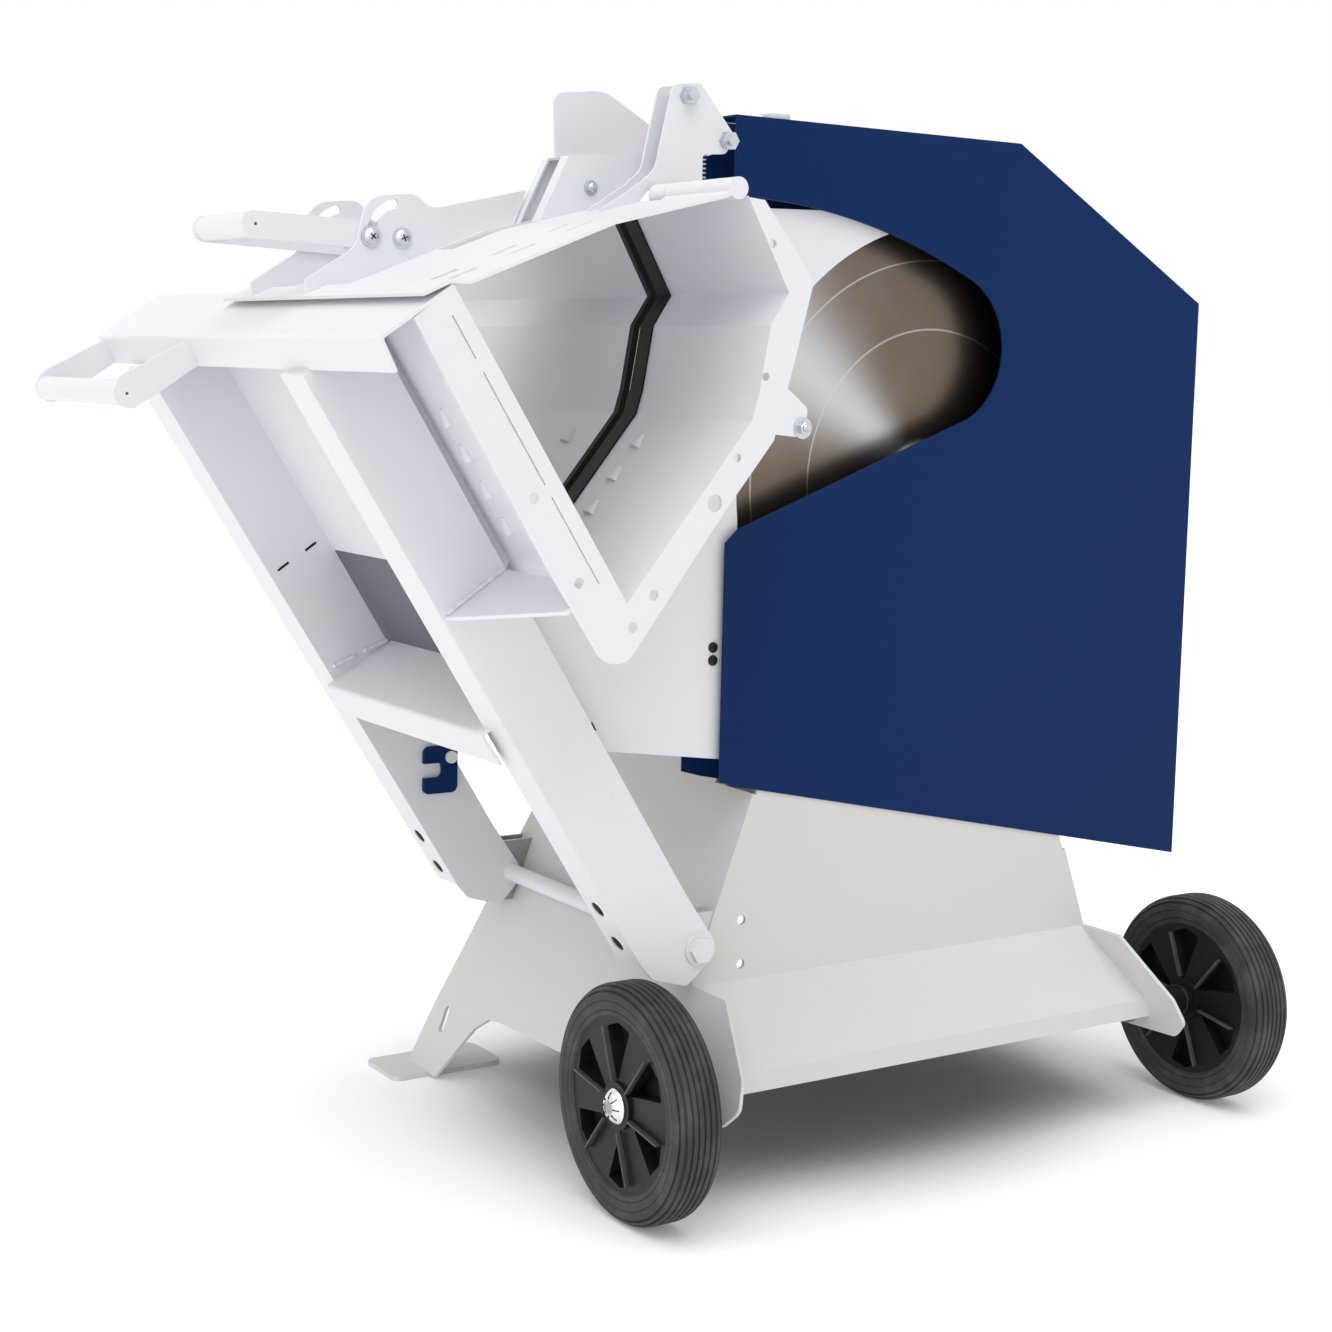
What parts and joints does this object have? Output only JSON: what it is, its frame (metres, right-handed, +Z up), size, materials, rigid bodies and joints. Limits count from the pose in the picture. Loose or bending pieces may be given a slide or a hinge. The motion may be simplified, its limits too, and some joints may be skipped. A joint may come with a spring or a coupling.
{
  "type": "tilting firewood saw",
  "caption": "Wheeled tilting log saw: a rocking V trough with lid and handles swings firewood into a guarded circular blade driven by belts from a motor below.",
  "frame": {"origin": "on the floor, under the middle of the machine's box", "axes": "+Z up, +X from the operator's handles towards the blade guard, +Y along the spindle from the wheels to the rear feet"},
  "size_m": [1.2338, 0.705, 1.1069],
  "materials": {
    "rocker_white": "satin cool white powder coat",
    "brace_grey": "grey primer",
    "base_grey": "satin light warm grey powder coat",
    "guard_navy": "satin navy powder coat",
    "zinc_steel": "bright zinc plate",
    "galvanised": "dull galvanised",
    "blade_steel": "ground and polished",
    "spring_steel": "bare spring wire",
    "cap_chrome": "bright",
    "tyre_rubber": "solid rubber, matte",
    "hub_plastic": "moulded black plastic",
    "edging_rubber": "matte push-on edging",
    "pulley_iron": "machined and painted iron",
    "motor_paint": "grey enamel",
    "belt_rubber": "matte",
    "cover_plastic": "moulded black plastic",
    "start_green": "gloss",
    "stop_red": "gloss"
  },
  "bodies": {
    "base": {"base_left": "base_grey", "base_right": "base_grey", "base_front": "base_grey", "base_rear": "base_grey", "deck": "base_grey", "axle_left": "zinc_steel", "axle_right": "zinc_steel", "cap_left": "cap_chrome", "cap_right": "cap_chrome", "pivot_bracket_near": "base_grey", "pivot_bracket_far": "galvanised", "guard_front": "guard_navy", "guard_rear": "guard_navy", "bearing_stand": "pulley_iron", "motor": "motor_paint", "belt_front": "belt_rubber", "belt_back": "belt_rubber", "belt_cover": "cover_plastic", "switch_box": "cover_plastic", "power_inlet": "cover_plastic"},
    "rocker": {"leg_near": "rocker_white", "leg_far": "rocker_white", "pivot_tube": "rocker_white", "pivot_bolt": "rocker_white", "rung": "rocker_white", "leg_brace": "brace_grey", "back_panel": "rocker_white", "trough_near": "rocker_white", "trough_far": "rocker_white", "edging_near": "edging_rubber", "edging_far": "edging_rubber", "end_plate_near": "rocker_white", "end_plate_far": "rocker_white", "blade_shield": "rocker_white", "gusset": "rocker_white", "apron": "rocker_white", "lower_handle": "rocker_white", "hinge_near": "rocker_white", "hinge_far": "rocker_white"},
    "lid_body": {"lid": "rocker_white", "hood": "rocker_white", "fin": "rocker_white", "lever_bracket": "rocker_white", "lever_bolt_top": "zinc_steel", "lever_bolt_side": "zinc_steel", "lid_spring": "spring_steel"},
    "lid_grip": {"upper_handle": "rocker_white"},
    "hook": {"latch_hook": "guard_navy"},
    "saw": {"blade": "blade_steel", "clamp_flange_front": "zinc_steel", "arbor_nut": "zinc_steel", "spindle": "zinc_steel", "spindle_pulley": "pulley_iron"},
    "rotor": {"motor_pulley": "pulley_iron"},
    "wheel_left": {"tyre_left": "tyre_rubber", "hub_left": "hub_plastic"},
    "wheel_right": {"tyre_right": "tyre_rubber", "hub_right": "hub_plastic"},
    "start": {"start_button": "start_green"},
    "stop": {"stop_button": "stop_red"}
  },
  "joints": [
    {"name": "rocker_tilt", "type": "hinge", "parent": "base", "child": "rocker", "pos_m": [-0.1012, 0.013, 0.2528], "axis": [0, 1, 0], "range_deg": [0, 29]},
    {"name": "lid_hinge", "type": "hinge", "parent": "rocker", "child": "lid_body", "pos_m": [-0.19017, -0.1375, 0.9992], "axis": [0, -1, 0], "range_deg": [-55, 0]},
    {"name": "lid_grip_swing", "type": "hinge", "parent": "lid_body", "child": "lid_grip", "pos_m": [-0.40477, -0.0455, 0.9527], "axis": [0, 1, 0], "range_deg": [0, 75]},
    {"name": "hook_swing", "type": "hinge", "parent": "rocker", "child": "hook", "pos_m": [-0.18466, 0.2065, 0.396], "axis": [0, 1, 0], "range_deg": [0, 60]},
    {"name": "blade_spin", "type": "hinge", "parent": "base", "child": "saw", "pos_m": [0.22143, -0.1285, 0.7215], "axis": [0, 1, 0], "continuous": true},
    {"name": "motor_spin", "type": "hinge", "parent": "base", "child": "rotor", "pos_m": [0.22143, 0.0515, 0.285], "axis": [0, 1, 0], "continuous": true},
    {"name": "wheel_left_spin", "type": "hinge", "parent": "base", "child": "wheel_left", "pos_m": [-0.19857, -0.2255, 0.12], "axis": [1, 0, 0], "continuous": true},
    {"name": "wheel_right_spin", "type": "hinge", "parent": "base", "child": "wheel_right", "pos_m": [0.58143, -0.2255, 0.12], "axis": [1, 0, 0], "continuous": true},
    {"name": "start_press", "type": "slide", "parent": "base", "child": "start", "axis": [0, -1, 0], "range_m": [0, 0.004], "stiffness_N_per_m": 400},
    {"name": "stop_press", "type": "slide", "parent": "base", "child": "stop", "axis": [0, -1, 0], "range_m": [0, 0.004], "stiffness_N_per_m": 400}
  ],
  "couplings": [
    {"joint": "motor_spin", "follows": "blade_spin", "ratio": 1.4208}
  ]
}
